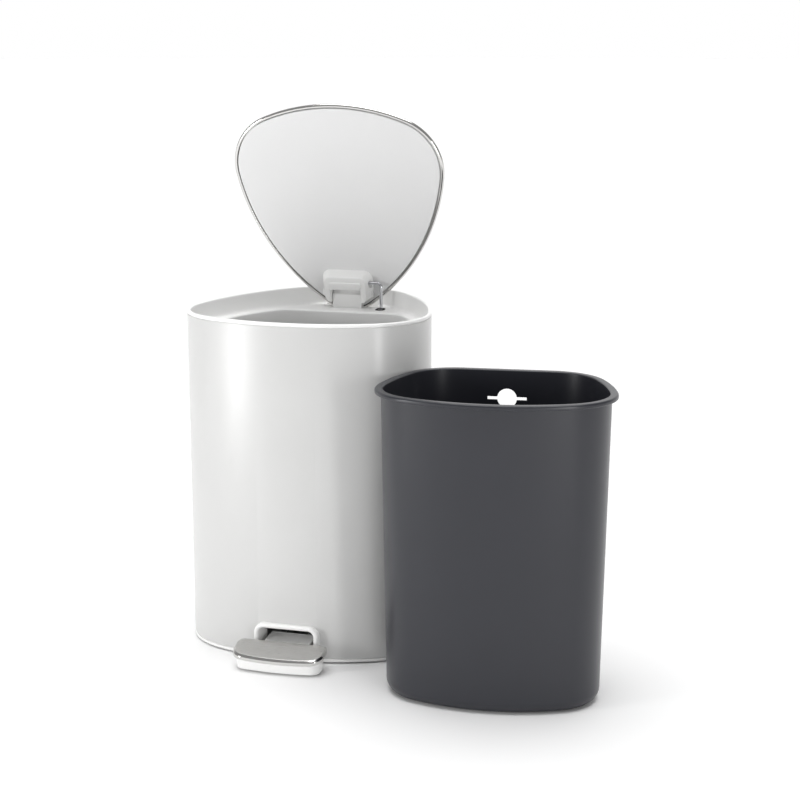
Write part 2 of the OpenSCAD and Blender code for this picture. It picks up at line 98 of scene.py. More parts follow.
def plan(inset, back_c, back_r):
    """The can's plan set in by inset: bowed front, wide front corners, long sides and the back corner."""
    return both_sides([
        (FRONT_C, FRONT_R - inset, -pi / 2, heading(FRONT_C, CORNER_C)),
        (CORNER_C, CORNER_R - inset, heading(FRONT_C, CORNER_C), heading(SIDE_C, CORNER_C)),
        (SIDE_C, SIDE_R - inset, heading(SIDE_C, CORNER_C), heading(SIDE_C, back_c)),
        (back_c, back_r, heading(SIDE_C, back_c), pi / 2),
    ])


def can_plan():
    return plan(0, BACK_C, BACK_R)


def cut_plan(inset, back, corner_r):
    """The same plan cut off square at y = back, with round back corners."""
    y = back - corner_r
    x = SIDE_C.x + sqrt((SIDE_R - inset - corner_r) ** 2 - (y - SIDE_C.y) ** 2)
    return plan(inset, Vector((x, y)), corner_r)


def round_box(half_w, low, high, radius):
    """Rectangle with round corners, symmetric in x and from low to high in y."""
    x = half_w - radius
    return both_sides([
        (Vector((x, low + radius)), radius, -pi / 2, 0),
        (Vector((x, high - radius)), radius, 0, pi / 2),
    ])


def oval(centre, along, radius):
    """Oval whose two round ends are centred at plus and minus along from its centre in y."""
    up, down = centre + Vector((0, along)), centre - Vector((0, along))
    return [(up, radius, 0, pi), (down, radius, pi, 2 * pi)]


def circle(centre, radius):
    return oval(centre, 0, radius)


def set_in(arcs, inset):
    """An outline moved inwards."""
    return [(centre, radius - inset, start, end) for centre, radius, start, end in arcs]


def rounded(corners, closed=False, steps=5):
    """Profile through corners given as (out, up, radius), with each corner made an arc of its radius.

    An open profile keeps its first and last corners sharp."""
    line = []
    for i, (out, up, radius) in enumerate(corners):
        here = Vector((out, up))
        if radius == 0 or (not closed and i in (0, len(corners) - 1)):
            line.append(here)
            continue
        back = (Vector(corners[i - 1][:2]) - here).normalized()
        ahead = (Vector(corners[(i + 1) % len(corners)][:2]) - here).normalized()
        half = back.angle(ahead) / 2
        centre = here + (back + ahead).normalized() * radius / sin(half)
        start = here + back * radius / tan(half) - centre
        end = here + ahead * radius / tan(half) - centre
        turn = atan2(start.x * end.y - start.y * end.x, start.dot(end))
        line += [centre + Matrix.Rotation(turn * k / steps, 2) @ start for k in range(steps + 1)]
    return line


# ---- Mesh building --------------------------------------------------------------------------------------

def loop_of(bm, arcs, offset, z, spacing):
    """Closed loop of spun arcs, each moved outwards by offset; every vertex keeps its outward direction."""
    outward = bm.verts.layers.float_vector.get("outward") or bm.verts.layers.float_vector.new("outward")
    old = set(bm.edges)
    ends = []
    for centre, radius, start, end in arcs:
        pivot = Vector((centre.x, centre.y, z))
        count = len(bm.verts)
        first = bm.verts.new(pivot + (radius + offset) * Vector((cos(start), sin(start), 0)))
        steps = max(2, ceil(abs(end - start) * (radius + offset) / spacing))
        bmesh.ops.spin(bm, geom=[first], cent=pivot, axis=(0, 0, 1), angle=end - start, steps=steps)
        bm.verts.ensure_lookup_table()
        made = bm.verts[count:]
        for vert in made:
            vert[outward] = (vert.co - pivot).normalized()
        last = max(made, key=lambda v: (v[outward] - first[outward]).length)
        ends.append((made[0], last))
    doubles = {}
    for (_, last), (first, _) in zip(ends, ends[1:] + ends[:1]):
        if (last.co - first.co).length < 0.01 * MM:
            doubles[first] = last
        else:
            bm.edges.new((last, first))
    bmesh.ops.weld_verts(bm, targetmap=doubles)
    return [e for e in bm.edges if e not in old]


def sweep(bm, edges, line):
    """Extrudes a loop that lies at the first point of a profile through its other points."""
    outward = bm.verts.layers.float_vector["outward"]
    for here, there in zip(line, line[1:]):
        geom = bmesh.ops.extrude_edge_only(bm, edges=edges)["geom"]
        edges = [g for g in geom if isinstance(g, bmesh.types.BMEdge)]
        for vert in verts_in(geom):
            vert.co += vert[outward] * (there.x - here.x) + Vector((0, 0, there.y - here.y))
    return edges


def skin(bm, arcs, line, spacing=3 * MM, closed=False):
    """Sweeps a profile round an outline and returns its first and last loop."""
    first = loop_of(bm, arcs, line[0].x, line[0].y, spacing)
    last = sweep(bm, first, line + line[:1] if closed else line)
    return first, last


def cap(bm, edges):
    """Closes a flat loop with one face."""
    bmesh.ops.edgeloop_fill(bm, edges=edges)


def prism(arcs, low, high, spacing=3 * MM):
    """Upright solid of one outline."""
    bm = bmesh.new()
    for loop in skin(bm, arcs, [Vector((0, low)), Vector((0, high))], spacing):
        cap(bm, loop)
    return bm


def block(low, high):
    """Plain box between two corners, given in millimetres."""
    bm = bmesh.new()
    bmesh.ops.create_cube(bm, size=1)
    low, high = Vector(low) * MM, Vector(high) * MM
    scale = Matrix.Diagonal((*(high - low), 1))
    bmesh.ops.transform(bm, matrix=Matrix.Translation((low + high) / 2) @ scale, verts=bm.verts)
    return bm


def shut(bm):
    """Merges doubled points and turns all faces outwards."""
    bmesh.ops.remove_doubles(bm, verts=bm.verts, dist=0.002 * MM)
    bmesh.ops.recalc_face_normals(bm, faces=bm.faces)
    return bm


def combine(bm, tool, operation):
    """The shape that a union, difference or intersection of two solids leaves; uses both up."""
    objects = []
    for shape in (bm, tool):
        mesh = bpy.data.meshes.new("shape")
        shut(shape).to_mesh(mesh)
        shape.free()
        objects.append(bpy.data.objects.new("shape", mesh))
        bpy.context.scene.collection.objects.link(objects[-1])
    modifier = objects[0].modifiers.new("cut", "BOOLEAN")
    modifier.operation = operation
    modifier.solver = "EXACT"
    modifier.object = objects[1]
    result = bmesh.new()
    result.from_object(objects[0], bpy.context.evaluated_depsgraph_get())
    for obj in objects:
        bpy.data.meshes.remove(obj.data)
    return result


def round_edges(bm, edges, radius, segments):
    bmesh.ops.bevel(bm, geom=list(edges), affect="EDGES", offset=radius, segments=segments, profile=0.5,
                    material=-1)


def round_points(bm, points, radius, segments):
    bmesh.ops.bevel(bm, geom=points, affect="VERTICES", offset=radius, segments=segments, profile=0.5,
                    material=-1)


def verts_in(geom):
    return [g for g in geom if isinstance(g, bmesh.types.BMVert)]


def moved(bm, matrix):
    bmesh.ops.transform(bm, matrix=matrix, verts=bm.verts)
    return bm


def piece(name, bm, materials, body, replaced, smooth_below=32):
    """Makes the finished object, which rides on its body and stands for its CAD nodes."""
    mesh = bpy.data.meshes.new(name)
    shut(bm).to_mesh(mesh)
    bm.free()
    mesh.shade_smooth()
    mesh.set_sharp_from_angle(angle=radians(smooth_below))
    for material in materials:
        mesh.materials.append(material)
    obj = bpy.data.objects.new(name, mesh)
    bpy.context.scene.collection.objects.link(obj)
    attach(obj, body)
    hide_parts(*replaced)
    return obj


def about(point, turn):
    """Matrix that turns things about the x-parallel line through a point."""
    return Matrix.Translation(point) @ Matrix.Rotation(turn, 4, "X") @ Matrix.Translation(-point)


OPENED = about(HINGE, -LID_OPEN)
UPRIGHT = Matrix.Rotation(pi / 2, 4, "X")


# ---- Materials ------------------------------------------------------------------------------------------

def linear(code):
    """Linear colour of an sRGB hex code."""
    parts = [int(code[i:i + 2], 16) / 255 for i in (1, 3, 5)]
    return (*[c / 12.92 if c <= 0.04045 else ((c + 0.055) / 1.055) ** 2.4 for c in parts], 1)


def add(tree, kind, links=None, **settings):
    """Adds a node; links maps input names to a value or to an output socket."""
    node = tree.nodes.new(kind)
    for name, value in settings.items():
        setattr(node, name, value)
    for name, value in (links or {}).items():
        if isinstance(value, bpy.types.NodeSocket):
            tree.links.new(value, node.inputs[name])
        else:
            node.inputs[name].default_value = value
    return node


def finish_of(name, surface, base, mottled, mottle_mm, rough, grain_mm, bump_mm, stretch=(1, 1, 1)):
    """Surface whose colour drifts between two shades, with a fine grain in its roughness and height.

    rough is its lowest and highest roughness; stretch draws the grain out along an axis."""
    material = bpy.data.materials.new(name)
    material.use_nodes = True
    tree = material.node_tree
    tree.nodes.clear()
    place = add(tree, "ShaderNodeTexCoord").outputs["Object"]
    drift = add(tree, "ShaderNodeTexNoise", {"Vector": place, "Scale": 1 / (mottle_mm * MM), "Detail": 3})
    colour = add(tree, "ShaderNodeMix", {"Factor": drift.outputs["Fac"]}, data_type="RGBA")
    colour.inputs[6].default_value = linear(base)
    colour.inputs[7].default_value = linear(mottled)
    drawn = add(tree, "ShaderNodeMapping", {"Vector": place, "Scale": stretch})
    grain = add(tree, "ShaderNodeTexNoise", {
        "Vector": drawn.outputs["Vector"], "Scale": 1 / (grain_mm * MM), "Detail": 4, "Roughness": 0.6})
    roughness = add(tree, "ShaderNodeMapRange", {
        "Value": grain.outputs["Fac"], "From Min": 0.3, "From Max": 0.7,
        "To Min": rough[0], "To Max": rough[1]})
    bump = add(tree, "ShaderNodeBump", {
        "Height": grain.outputs["Fac"], "Distance": bump_mm * MM, "Strength": 0.5})
    shader = add(tree, "ShaderNodeBsdfPrincipled", {
        "Base Color": colour.outputs[2], "Roughness": roughness.outputs["Result"],
        "Normal": bump.outputs["Normal"], **surface})
    add(tree, "ShaderNodeOutputMaterial", {"Surface": shader.outputs["BSDF"]})
    return material


METAL = {"Metallic": 1.0}
PLASTIC = {"IOR": 1.49, "Specular IOR Level": 0.5}
# Sheet steel with a baked powder coat: warm white, satin, with a faint orange peel in its reflections
BAKED_COAT = {"IOR": 1.5, "Coat Weight": 0.25, "Coat Roughness": 0.25}
POWDER_COAT = finish_of("satin_powder_coated_steel", BAKED_COAT,
                        "#d4d4d3", "#d0d0cf", 60, (0.30, 0.38), 2.2, 0.02)
# Injection moulded ABS: bright white, smooth, slightly glossy on its rounded edges
WHITE_ABS = finish_of("moulded_white_abs", PLASTIC, "#fbfbfa", "#f8f8f7", 40, (0.26, 0.36), 0.8, 0.008)
# The lid's flat liner is the same ABS from a finely textured mould, so it is more matt; its colour is set
# greyer than the other white ABS as painted shade for the lid's underside
SHADED_LINER_ABS = finish_of("textured_white_abs_sheet_painted_shade", PLASTIC, "#e3e3e3", "#dfdfdf", 70, (0.40, 0.50), 0.6, 0.01)
# Moulded polypropylene: light grey and dull, for the parts that are not seen from outside
GREY_PP = finish_of("moulded_grey_polypropylene", PLASTIC, "#c9cacb", "#c1c2c3", 30, (0.48, 0.60), 0.9, 0.02)
# Polypropylene bucket: dark slate grey, with a fine even grain that spreads its highlights
BUCKET_PP = finish_of("satin_slate_polypropylene", PLASTIC,
                      "#2b2c33", "#28292f", 50, (0.28, 0.36), 0.7, 0.015)
# Brushed stainless steel: fine scratches all drawn one way, about 0.2 mm apart, drawn coarser to show
BRUSHED_STEEL = finish_of("brushed_stainless_steel", METAL,
                          "#c8c7c5", "#bebdbb", 25, (0.24, 0.38), 0.5, 0.006, (0.03, 1, 1))
# The rolled edges of the same steel are buffed bright, so they mirror the room in thin lines
BUFFED_STEEL = finish_of("buffed_stainless_steel", METAL, "#d3d2d0", "#cccbc9", 20, (0.08, 0.14), 1.5, 0.003)
# Steel wire under bright chrome: almost a mirror, slightly blue
CHROME = finish_of("bright_chrome_plate", METAL, "#dcdde0", "#d2d3d7", 8, (0.05, 0.10), 1.0, 0.003)
# Zinc plated steel: grey with a milky bloom and a faint yellow cast
ZINC = finish_of("zinc_plated_steel", METAL, "#b9b9b4", "#a3a49f", 6, (0.30, 0.45), 0.8, 0.01)
# Acetal, as on dampers and bearings: near black and waxy
ACETAL = finish_of("moulded_black_acetal", PLASTIC, "#1d1d1f", "#222225", 10, (0.35, 0.45), 0.6, 0.01)
# Moulded rubber: black, dull and a little dusty
RUBBER = finish_of("moulded_black_rubber", PLASTIC, "#1b1b1c", "#29292a", 7, (0.65, 0.85), 0.5, 0.03)

CAD_FINISHES = {
    "floor_plate": GREY_PP, "bearing_caps": ACETAL, "bearing_screws": ZINC, "pedal_axle": ZINC,
    "axle_clips": ZINC, "stop_pads": RUBBER, "hinge_pin": ZINC, "post_screws": ZINC,
    "bracket_screws": ZINC, "pedal_arm": ZINC, "pedal_screws": ZINC, "rod_clip": ZINC,
    "damper_cylinder": ACETAL, "damper_bracket": ACETAL, "damper_rod": ZINC,
}
for node, material in CAD_FINISHES.items():
    frame["nodes"][node].data.materials.clear()
    frame["nodes"][node].data.materials.append(material)


def mm(*corners):
    """Profile corners given as (out, up, radius) in millimetres, in metres."""
    return [tuple(value * MM for value in corner) for corner in corners]


# ---- Can ------------------------------------------------------------------------------------------------

# Sizes from here on are millimetres, but for those that are multiplied by MM.
# Thickness of the sheet steel, where mouldings meet its back, and its gap to a moulding's lip
SHEET = 1
SHEET_BACK = -(SHEET + 0.05)
SEAM = 0.3
# Cutout for the pedal
GATE_HALF_W, GATE_TOP, GATE_R = 35.2, 41.8, 9


def can_shell():
    """Sheet steel sleeve, cut out at the front for the pedal."""
    low, high, edge = SHELL_BOTTOM / MM + SEAM, SHELL_TOP / MM - SEAM, 0.4
    bm = bmesh.new()
    skin(bm, can_plan(), rounded(mm(
        (0, low, edge), (0, high, edge), (-SHEET, high, edge), (-SHEET, low, edge)), True, 3), closed=True)
    gate = prism(round_box(GATE_HALF_W * MM, -20 * MM, GATE_TOP * MM, GATE_R * MM), 100 * MM, 200 * MM)
    bm = combine(bm, moved(gate, UPRIGHT), "DIFFERENCE")
    piece("can_shell", bm, [POWDER_COAT], "can", ["outer_shell"])


# Pocket behind the hinge that the lid's bracket swings down into
POCKET_HALF_W, POCKET_FRONT, POCKET_BACK, POCKET_FLOOR, POCKET_WALL = 33, 110.5, 150, 360, 2
RIM_SLOPE_FOOT = 5.8
OPENING_INSET, OPENING_BACK, OPENING_R = 19.5, 70, 22
# Oval hole in the shelf that the wire goes down through
ROD_X = 44
GROMMET = Vector((ROD_X, 94.1)) * MM
GROMMET_REACH, GROMMET_R = 2.7, 3.4


def pocket_block(wall, top):
    """Room of the pocket with a wall round it, cut to the round back of the can."""
    low = (-POCKET_HALF_W - wall, POCKET_FRONT - wall, POCKET_FLOOR - wall)
    inset = POCKET_WALL if wall else RIM_SLOPE_FOOT
    inside = prism(set_in(can_plan(), inset * MM), (POCKET_FLOOR - 20) * MM, (POCKET_FLOOR + 20) * MM)
    return combine(block(low, (POCKET_HALF_W + wall, POCKET_BACK, top)), inside, "INTERSECT")


def rim():
    """Moulded rim: a bead on the shell, a sloping wall down to a shelf, and a skirt round the opening."""
    shelf, under = SHELF / MM, SHELF / MM - 2.5
    skirt, top, bead = SKIRT_BOTTOM / MM, CAN_TOP / MM, SHELL_TOP / MM + SEAM
    bm = bmesh.new()
    under_out, shelf_out = skin(bm, can_plan(), rounded(mm(
        (-2, under, 0), (-2, skirt, 0.3), (SHEET_BACK, skirt, 0.3), (SHEET_BACK, bead, 0), (0, bead, 0.5),
        (0, top, 1.5), (-4.2, top, 1.8), (-RIM_SLOPE_FOOT, shelf, 3.5), (-11, shelf, 0))))
    opening = cut_plan(OPENING_INSET * MM, OPENING_BACK * MM, OPENING_R * MM)
    shelf_in, under_in = skin(bm, opening, rounded(mm(
        (3.5, shelf, 0), (0, shelf, 2.4), (0, skirt, 0.6), (2, skirt, 0.6), (2, under, 0))))
    bmesh.ops.triangle_fill(bm, edges=shelf_out + shelf_in, use_beauty=True)
    bmesh.ops.triangle_fill(bm, edges=under_out + under_in, use_beauty=True)
    bm = combine(bm, pocket_block(POCKET_WALL, shelf - 0.01), "UNION")
    bm = combine(bm, pocket_block(0, shelf + 3), "DIFFERENCE")
    hole = prism(oval(GROMMET, GROMMET_REACH * MM, GROMMET_R * MM), SKIRT_BOTTOM, CAN_TOP, 0.6 * MM)
    bm = combine(bm, hole, "DIFFERENCE")
    piece("rim", bm, [WHITE_ABS], "can", ["top_collar"])


def grommet():
    """Flat oval rubber ring where the wire goes down through the shelf."""
    bm = bmesh.new()
    low, high = SHELF / MM, SHELF / MM + 0.8
    skin(bm, oval(GROMMET, GROMMET_REACH * MM, GROMMET_R * MM), rounded(mm(
        (2.1, low, 0.1), (2.1, high, 0.4), (0, high, 0.3), (0, low - 1, 0.1)), True, 3), 0.7 * MM, True)
    piece("rod_grommet_ring", bm, [RUBBER], "can", ["rod_grommet"])


# Top of the base's wall, which holds up the floor plate, and its underside, where the foot ring is
TRAY_TOP, TRAY_UNDER = 37, 2
BEARING_X = 19


def base_tray():
    """Moulded base: a lip under the shell, a wall inside it, bearing blocks and bosses on its floor."""
    seam, floor_top, sunk = SHELL_BOTTOM / MM - SEAM, 4.5, 3
    bm = bmesh.new()
    floor, under = skin(bm, can_plan(), rounded(mm(
        (-8, floor_top, 0), (-3, floor_top, 1), (-3, TRAY_TOP, 0.4), (SHEET_BACK, TRAY_TOP, 0.4),
        (SHEET_BACK, seam, 0), (0, seam, 0.5), (0, TRAY_UNDER, 1), (-14, TRAY_UNDER, 0)), steps=3))
    cap(bm, floor)
    cap(bm, under)
    bm = combine(bm, block((-GATE_HALF_W, -200, seam), (GATE_HALF_W, -118, 60)), "DIFFERENCE")
    for x in (-BEARING_X, BEARING_X):
        bm = combine(bm, block((x - 5, -58, sunk), (x + 5, -42, 20)), "UNION")
    pillars = [(x, y, TRAY_TOP, 5) for y in (-100, 40) for x in (-60, 60)]
    front_stop, rear_stop = (0, -112, 16, 7), (0, 60, 12.4, 9)
    for x, y, top, radius in (*pillars, front_stop, rear_stop):
        boss = prism(circle(Vector((x, y)) * MM, radius * MM), sunk * MM, top * MM, 1 * MM)
        bm = combine(bm, boss, "UNION")
    piece("base_tray", bm, [WHITE_ABS], "can", ["base_pan"])


def foot():
    """Dark rubber ring that the can stands on."""
    bm = bmesh.new()
    skin(bm, can_plan(), rounded(mm(
        (-13, 0, 0.5), (-5, 0, 0.8), (-5, TRAY_UNDER, 0.1), (-13, TRAY_UNDER, 0.1)), True, 3), closed=True)
    piece("foot", bm, [RUBBER], "can", ["foot_ring"])


def pedal_surround():
    """White bead round the pedal's opening, with a short tunnel behind it; drawn flat and stood upright."""
    shell, front, tunnel_end = 142.6, 151.5, 119
    bm = bmesh.new()
    skin(bm, round_box(38.2 * MM, 6 * MM, 45 * MM, 12 * MM), rounded(mm(
        (0, shell, 0.2), (0, front, 2.5), (-5.2, front, 2.5), (-5.2, tunnel_end, 0.5),
        (-3.5, tunnel_end, 0.5), (-3.5, shell, 0.2)), True, 6), 1.2 * MM, True)
    piece("pedal_surround", moved(bm, UPRIGHT), [WHITE_ABS], "can", ["pedal_frame"])


# ---- Hinge ----------------------------------------------------------------------------------------------

BARREL_R = 4.6
TONGUE_HALF_W = 18.4


def hinge_tongue():
    """Tongue that stands on the shelf and carries the hinge pin in its round top."""
    hy, hz, shelf = HINGE.y / MM, HINGE.z / MM, SHELF / MM
    turns = [radians(-70 + 15 * k) for k in range(17)]
    barrel = [(hy + BARREL_R * cos(turn), hz + BARREL_R * sin(turn)) for turn in turns]
    side = [(hy - 8.4, shelf), (hy + 3, shelf), *barrel, (hy - 6.9, hz), (hy - 8.4, hz - 1.5)]
    bm = bmesh.new()
    face = bm.faces.new([bm.verts.new(Vector((-TONGUE_HALF_W, y, z)) * MM) for y, z in side])
    made = bmesh.ops.extrude_face_region(bm, geom=[face])["geom"]
    bmesh.ops.translate(bm, vec=(2 * TONGUE_HALF_W * MM, 0, 0), verts=verts_in(made))
    ends = [e for e in bm.edges if abs(e.verts[0].co.x - e.verts[1].co.x) < 0.1 * MM]
    round_edges(bm, ends, 0.5 * MM, 3)
    piece("hinge_tongue", bm, [WHITE_ABS], "can", ["hinge_post"])


# The bracket's pieces are drawn at the hinge, with y away from it and z down from the shut lid
FLIPPED = OPENED @ Matrix.Translation(HINGE) @ Matrix.Rotation(pi, 4, "X")
# Place of the wire's hook from the hinge as (y, z), and how far its slot runs towards the hinge
HOOK = Vector((16, 5))
HOOK_REACH = 1.95


def hinge_bracket():
    """Arch on the lid's underside, with a leg each side of the tongue."""
    half, notch, front_half, depth = 32, 19, 26, 14
    corners = [(notch, 9), (notch, -8), (notch + 5, -8), (half, -3.5), (half, 30)]
    corners += [(-x, u) for x, u in reversed(corners)]
    bm = bmesh.new()
    face = bm.faces.new([bm.verts.new(Vector((x, u, -1)) * MM) for x, u in corners])
    round_points(bm, [v for v in face.verts if v.co.y > 20 * MM], 11 * MM, 8)
    feet = [v for v in bm.verts if v.co.y < -3 * MM and abs(v.co.x) > (notch + 1) * MM]
    round_points(bm, feet, 1.8 * MM, 3)
    made = bmesh.ops.extrude_face_region(bm, geom=list(bm.faces))["geom"]
    for vert in verts_in(made):
        vert.co.z = depth * MM
        side = copysign(notch * MM, vert.co.x)
        vert.co.x = side + (vert.co.x - side) * (front_half - notch) / (half - notch)
        if vert.co.y > 15 * MM:
            vert.co.y -= 4 * MM
    front = [f for f in bm.faces if all(abs(v.co.z - depth * MM) < 0.01 * MM for v in f.verts)]
    edges = dict.fromkeys(e for f in front for e in f.edges)
    round_edges(bm, edges, 1.5 * MM, 5)
    away = HOOK.normalized()
    turn = Matrix.Rotation(atan2(away.y, away.x) - pi / 2, 4, "Z")
    slot = prism(oval(Vector((0, 0)), HOOK_REACH * MM, 3 * MM), 24 * MM, 40 * MM, 0.6 * MM)
    x_to_y_to_z_to_x = Matrix(((0, 0, 1, 0), (1, 0, 0, 0), (0, 1, 0, 0), (0, 0, 0, 1)))
    moved(slot, x_to_y_to_z_to_x @ turn)
    moved(slot, Matrix.Translation(Vector((0, *(HOOK - away * HOOK_REACH))) * MM))
    bm = combine(bm, slot, "DIFFERENCE")
    barrel = prism(circle(Vector((0, 0)), BARREL_R * MM), -half * MM, half * MM, 0.8 * MM)
    moved(barrel, Matrix.Rotation(pi / 2, 4, "Y"))
    gap = block((-notch, -20, -10), (notch, 9, 20))
    bm = combine(bm, combine(barrel, gap, "DIFFERENCE"), "UNION")
    piece("hinge_bracket", moved(bm, FLIPPED), [WHITE_ABS], "lid", ["lid_bracket"])


def bracket_rib():
    """Snap-on cover strip over the bracket's screws."""
    bm = block((-20.5, 11.9, 13.6), (20.5, 19.1, 15.8))
    round_edges(bm, [e for e in bm.edges if abs(e.verts[0].co.z - e.verts[1].co.z) > 1 * MM], 2.5 * MM, 5)
    top = max(bm.faces, key=lambda f: f.calc_center_median().z)
    round_edges(bm, top.edges, 1.2 * MM, 4)
    piece("bracket_rib", moved(bm, FLIPPED), [WHITE_ABS], "lid", ["bracket_cap"])


# ---- Lid ------------------------------------------------------------------------------------------------

# Places across the lid's edge, from the can's outline: rolled edge, its lip underneath, and the flat field
LID_EDGE, LID_LIP, LID_FIELD = -12, -16, -24


def lid_skin():
    """Steel skin of the lid: flat brushed top inside a buffed rolled edge."""
    under, top = LID_UNDER / MM, LID_TOP / MM
    bm = bmesh.new()
    inner, crown = skin(bm, can_plan(), rounded(mm(
        (LID_LIP, top - 1.2, 0), (LID_LIP, under + 0.1, 0.5), (LID_EDGE, under, 2.7), (LID_EDGE, top, 2.8),
        (-17.2, top, 1.5), (-18.4, top - 0.6, 1), (LID_FIELD, top - 0.6, 0)), steps=6))
    cap(bm, inner)
    cap(bm, crown)
    for face in bm.faces:
        if face.calc_center_median().z > LID_TOP - 0.7 * MM and len(face.verts) > 4:
            face.material_index = 1
    metals = [BUFFED_STEEL, BRUSHED_STEEL]
    piece("lid_skin", moved(bm, OPENED), metals, "lid", ["lid_cover"])


def lid_liner():
    """White underside of the lid, let into the steel skin and notched over the hinge."""
    under = LID_UNDER / MM
    bm = bmesh.new()
    top, face = skin(bm, can_plan(), rounded(mm(
        (LID_LIP - 0.9, under + 2.8, 0), (LID_LIP - 0.9, under, 1.2), (LID_FIELD, under, 0)), steps=4))
    cap(bm, top)
    cap(bm, face)
    bm = combine(bm, block((-32.3, 101, under - 2), (32.3, 113, under + 5)), "DIFFERENCE")
    piece("lid_liner", moved(bm, OPENED), [SHADED_LINER_ABS], "lid", ["lid_panel"])


# ---- Push rod -------------------------------------------------------------------------------------------

def wire():
    """Chromed wire from the lever up to the bracket, bent over at both ends."""
    radius, bend, low_end, high_end = 2 * MM, 4.5 * MM, 32 * MM, 25 * MM
    low = Vector(JOINTS["rod_hinge"]["pos_m"])
    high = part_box("push_rod")[1]
    length = sqrt((high.z - radius - low.z) ** 2 + (high.y - radius - low.y) ** 2)
    lean = asin((high.y - radius - low.y) / length)
    bm = bmesh.new()
    made = bmesh.ops.create_circle(bm, cap_ends=True, radius=radius, segments=20)["verts"]
    bmesh.ops.rotate(bm, cent=(0, 0, 0), matrix=Matrix.Rotation(pi / 2, 3, "Y"), verts=made)
    bmesh.ops.translate(bm, vec=(low_end, 0, 0), verts=made)
    end = list(bm.faces)

    def swap_end(geom):
        nonlocal end
        bmesh.ops.delete(bm, geom=end, context="FACES_ONLY")
        end = [g for g in geom if isinstance(g, bmesh.types.BMFace)]

    def run(vec):
        geom = bmesh.ops.extrude_face_region(bm, geom=end)["geom"]
        bmesh.ops.translate(bm, vec=vec, verts=verts_in(geom))
        swap_end(geom)

    def turn(centre):
        made = bmesh.ops.spin(bm, geom=end, cent=centre, axis=(0, -1, 0), angle=pi / 2, steps=10)
        swap_end(made["geom_last"])

    run((ROD_X * MM - bend - low_end, 0, 0))
    turn((ROD_X * MM - bend, 0, bend))
    run((0, 0, length - 2 * bend))
    turn((ROD_X * MM - bend, 0, length - bend))
    run((high_end - ROD_X * MM + bend, 0, 0))
    cap(bm, [e for e in bm.edges if e.is_boundary and e.verts[0].co.z < length / 2])
    moved(bm, Matrix.Translation((0, low.y, low.z)) @ Matrix.Rotation(-lean, 4, "X"))
    piece("wire", bm, [CHROME], "rod", ["push_rod"], 50)


# ---- Pedal ----------------------------------------------------------------------------------------------

CAP_LOW, CAP_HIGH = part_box("pedal_cap")
PEDAL_W = CAP_HIGH.x - CAP_LOW.x
SLOPE = radians(13.8)
PEDAL_TONGUE_HALF_W, PEDAL_TONGUE_TILT = 27, radians(3.5)
CAP_BACK = Vector((0, CAP_HIGH.y, CAP_HIGH.z))


def pedal_plan():
    """Plan of the pedal: bowed front edge, wide front corners, small back corners."""
    bow, wide, small = 260 * MM, 16 * MM, 7 * MM
    bow_c = Vector((0, CAP_LOW.y + bow))
    x = PEDAL_W / 2 - wide
    wide_c = Vector((x, bow_c.y - sqrt((bow - wide) ** 2 - x * x)))
    return both_sides([
        (bow_c, bow, -pi / 2, heading(bow_c, wide_c)),
        (wide_c, wide, heading(bow_c, wide_c), 0),
        (Vector((PEDAL_W / 2 - small, CAP_HIGH.y - small)), small, 0, pi / 2),
    ])


def sloped(bm, level_below=-1):
    """Leans a pedal piece, drawn with its top at height 0, to the slope of the pedal.

    What is drawn below the given height stays level."""
    for vert in bm.verts:
        lean = vert.co.z > level_below
        vert.co.z += CAP_BACK.z + (vert.co.y - CAP_BACK.y) * tan(SLOPE) * lean
    return bm


def pedal_plate():
    """Steel top of the pedal: brushed plate with a buffed rolled rim."""
    bm = bmesh.new()
    inner, top = skin(bm, pedal_plan(), rounded(mm(
        (-6, -1.2, 0), (-3, -1.2, 0.4), (-1.2, -3, 0.4), (-1.2, -6, 0.3), (0, -6, 0.8), (0, -1.8, 1.4),
        (-2.2, 0, 0.4), (-2.9, 0, 0)), steps=6), 1.5 * MM)
    cap(bm, inner)
    cap(bm, top)
    for face in bm.faces:
        if len(face.verts) > 4:
            face.material_index = 1
    back = CAP_BACK.y / MM
    notch = block((-PEDAL_TONGUE_HALF_W - 0.4, back - 3, -20), (PEDAL_TONGUE_HALF_W + 0.4, back + 5, -1.5))
    bm = combine(sloped(bm), moved(notch, Matrix.Translation((0, 0, CAP_BACK.z))), "DIFFERENCE")
    piece("pedal_plate", bm, [BUFFED_STEEL, BRUSHED_STEEL], "pedal", ["pedal_cap"])


def pedal_body():
    """White body under the steel top, with the tongue that carries it into the can."""
    bottom, plate = 2 - CAP_BACK.z / MM, -1.25
    bm = bmesh.new()
    under, top = skin(bm, pedal_plan(), rounded(mm(
        (-6, bottom, 0), (-4.5, bottom, 0.8), (-4.5, plate, 0), (-6, plate, 0)), steps=4), 1.5 * MM)
    cap(bm, under)
    cap(bm, top)
    sloped(bm, -10 * MM)
    tongue = block((-PEDAL_TONGUE_HALF_W, -162, 5.8), (PEDAL_TONGUE_HALF_W, -119.5, 9.4))
    round_edges(tongue, [e for e in tongue.edges if any(v.co.y > -121 * MM for v in e.verts)], 0.8 * MM, 3)
    axle = Vector((0, *JOINTS["pedal_hinge"]["pos_m"][1:]))
    lever = Matrix.Translation(axle) @ Matrix.Rotation(PEDAL_TONGUE_TILT, 4, "X")
    moved(tongue, lever @ Matrix.Translation((0, -axle.y, 0)))
    bm = combine(bm, tongue, "UNION")
    piece("pedal_body", bm, [WHITE_ABS], "pedal", ["pedal_pad"])


# ---- Bucket ---------------------------------------------------------------------------------------------

BUCKET_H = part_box("inner_bucket")[1].z / MM
BUCKET_SPOT = Vector((236, -60, 0)) * MM
BUCKET_TURN = radians(5)
BUCKET_INSET, BUCKET_BACK, BUCKET_CORNER_R = 13.5, 60, 65


